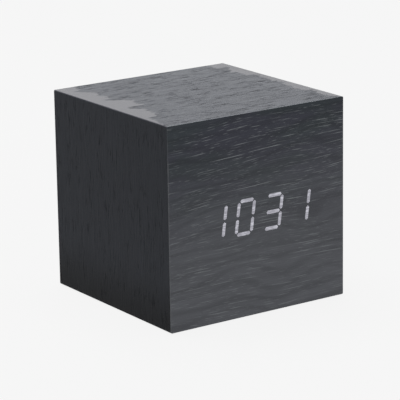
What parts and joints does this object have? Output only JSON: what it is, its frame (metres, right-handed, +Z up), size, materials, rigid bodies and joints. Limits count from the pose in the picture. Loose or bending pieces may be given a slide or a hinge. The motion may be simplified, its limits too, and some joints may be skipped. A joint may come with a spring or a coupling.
{
  "type": "cube alarm clock",
  "caption": "Wood-look cube alarm clock with light digits on its front, and buttons, a power socket and a battery door at the back.",
  "frame": {"origin": "middle of the footprint, on the surface that the clock stands on", "axes": "+Z up; the front with the digits faces -Y; +X is on the right of someone who reads the time"},
  "size_m": [0.082, 0.08, 0.0805],
  "materials": {
    "wood_film": "matt anthracite wood-look film with embossed grain",
    "fibreboard": "dyed black fibreboard, raw cut edge",
    "batten_wood": "raw softwood strip",
    "pad_foam": "matt black foam pad",
    "light_guide": "milky diffusing plastic, lit from behind",
    "black_plastic": "fine-textured black moulded plastic",
    "button_plastic": "satin dark grey plastic",
    "circuit_board": "green solder mask",
    "bright_steel": "nickel-plated steel",
    "black_screw": "black zinc plating",
    "socket_brass": "turned brass",
    "cell_jacket": "plain printed foil sleeve with bare ends",
    "capacitor_sleeve": "shrink sleeve",
    "ribbon_jacket": "grey flat cable",
    "black_lead": "smooth insulated wire",
    "red_lead": "smooth insulated wire"
  },
  "bodies": {
    "case": {"wrap_film": "wood_film", "front_film": "wood_film", "bottom_board": "fibreboard", "top_board": "fibreboard", "left_board": "fibreboard", "right_board": "fibreboard", "front_board": "fibreboard", "left_batten": "batten_wood", "right_batten": "batten_wood", "foot_pad_1": "pad_foam", "foot_pad_2": "pad_foam", "foot_pad_3": "pad_foam", "foot_pad_4": "pad_foam", "hour_tens_light": "light_guide", "hour_units_light": "light_guide", "minute_tens_light": "light_guide", "minute_units_light": "light_guide", "colon_lens": "light_guide", "display_reflector": "black_plastic", "rear_cover": "black_plastic", "clock_chip": "black_plastic", "set_switch": "black_plastic", "up_switch": "black_plastic", "down_switch": "black_plastic", "power_socket": "black_plastic", "buzzer": "black_plastic", "display_board": "circuit_board", "button_board": "circuit_board", "display_screw_1": "bright_steel", "display_screw_2": "bright_steel", "quartz_crystal": "bright_steel", "microphone": "bright_steel", "contact_spring_1": "bright_steel", "contact_spring_2": "bright_steel", "contact_spring_3": "bright_steel", "negative_contact": "bright_steel", "lower_bridge_contact": "bright_steel", "upper_bridge_contact": "bright_steel", "positive_contact": "bright_steel", "cover_screw_1": "black_screw", "cover_screw_2": "black_screw", "cover_screw_3": "black_screw", "cover_screw_4": "black_screw", "socket_pin": "socket_brass", "battery_cell_1": "cell_jacket", "battery_cell_2": "cell_jacket", "battery_cell_3": "cell_jacket", "smoothing_capacitor": "capacitor_sleeve", "ribbon_cable": "ribbon_jacket", "negative_lead": "black_lead", "positive_lead": "red_lead"},
    "door": {"battery_door": "black_plastic", "door_latch": "black_plastic"},
    "set_push": {"set_button": "button_plastic", "set_plunger": "button_plastic"},
    "up_push": {"up_button": "button_plastic", "up_plunger": "button_plastic"},
    "down_push": {"down_button": "button_plastic", "down_plunger": "button_plastic"}
  },
  "joints": [
    {"name": "door_tilt", "type": "hinge", "parent": "case", "child": "door", "pos_m": [0, 0.038, 0.0105], "axis": [-1, 0, 0], "range_deg": [0, 60], "deforming": ["door_latch"]},
    {"name": "set_press", "type": "slide", "parent": "case", "child": "set_push", "axis": [0, -1, 0], "range_m": [0, 0.0005], "stiffness_N_per_m": 1000, "springref_m": -0.001},
    {"name": "up_press", "type": "slide", "parent": "case", "child": "up_push", "axis": [0, -1, 0], "range_m": [0, 0.0005], "stiffness_N_per_m": 1000, "springref_m": -0.001},
    {"name": "down_press", "type": "slide", "parent": "case", "child": "down_push", "axis": [0, -1, 0], "range_m": [0, 0.0005], "stiffness_N_per_m": 1000, "springref_m": -0.001}
  ]
}
